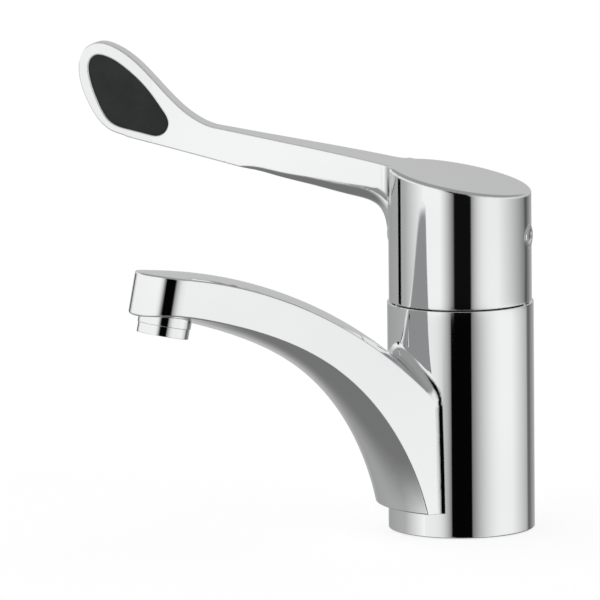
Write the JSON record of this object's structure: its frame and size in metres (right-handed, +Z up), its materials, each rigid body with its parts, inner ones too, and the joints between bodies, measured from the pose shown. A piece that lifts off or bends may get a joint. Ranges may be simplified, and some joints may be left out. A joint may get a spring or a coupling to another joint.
{
  "type": "elbow lever mixer tap",
  "caption": "Deck-mounted single-lever mixer tap with a fixed curved spout and a long elbow lever that ends in a thin loop with a soft insert.",
  "frame": {"origin": "centre of the round body's underside, on the deck plane", "axes": "+Z up along the body's axis, -Y towards the spout's outlet, +X to the right of someone facing the tap from the spout's side; the lever at rest is turned 48 degrees from the spout towards -X"},
  "size_m": [0.1266, 0.1551, 0.1632],
  "materials": {
    "chrome": "polished chrome plate",
    "brass": "turned brass",
    "steel": "bright steel",
    "black_rubber": "smooth rubber",
    "dark_rubber": "soft matte rubber",
    "grey_plastic": "moulded plastic",
    "white_plastic": "moulded plastic",
    "red_plastic": "moulded plastic",
    "indicator_plastic": "smooth plastic with a red and a blue half",
    "ceramic": "lapped ceramic"
  },
  "bodies": {
    "tap_body": {"body_casting": "chrome", "base_seal": "black_rubber", "retaining_nut": "brass", "cartridge_housing": "grey_plastic", "housing_o_ring": "black_rubber", "cartridge_base": "white_plastic", "port_seals": "black_rubber", "disc_seals": "black_rubber", "fixed_disc": "ceramic", "limit_ring": "red_plastic", "aerator_housing": "chrome", "aerator_washer": "black_rubber", "aerator_insert": "grey_plastic", "aerator_screen": "steel"},
    "turning_yoke": {"guide_yoke": "white_plastic", "yoke_o_ring": "black_rubber", "spindle_pin": "steel"},
    "lever_arm": {"lever": "chrome", "grip_insert": "dark_rubber", "rear_plug": "chrome", "indicator_plug": "indicator_plastic", "lever_set_screws": "steel", "spindle": "steel"},
    "upper_disc": {"moving_disc": "ceramic", "disc_carrier": "white_plastic"}
  },
  "joints": [
    {"name": "lever_turn", "type": "hinge", "parent": "tap_body", "child": "turning_yoke", "pos_m": [0, 0, 0.086], "axis": [0, 0, 1], "range_deg": [-2, 98]},
    {"name": "lever_lift", "type": "hinge", "parent": "turning_yoke", "child": "lever_arm", "pos_m": [0, 0, 0.086], "axis": [-0.6691, 0.7431, 0], "range_deg": [0, 20]},
    {"name": "disc_slide", "type": "slide", "parent": "turning_yoke", "child": "upper_disc", "axis": [-0.7431, -0.6691, 0], "range_m": [0, 0.00592]}
  ],
  "couplings": [
    {"joint": "disc_slide", "follows": "lever_lift", "m_per_rad": 0.016913}
  ]
}
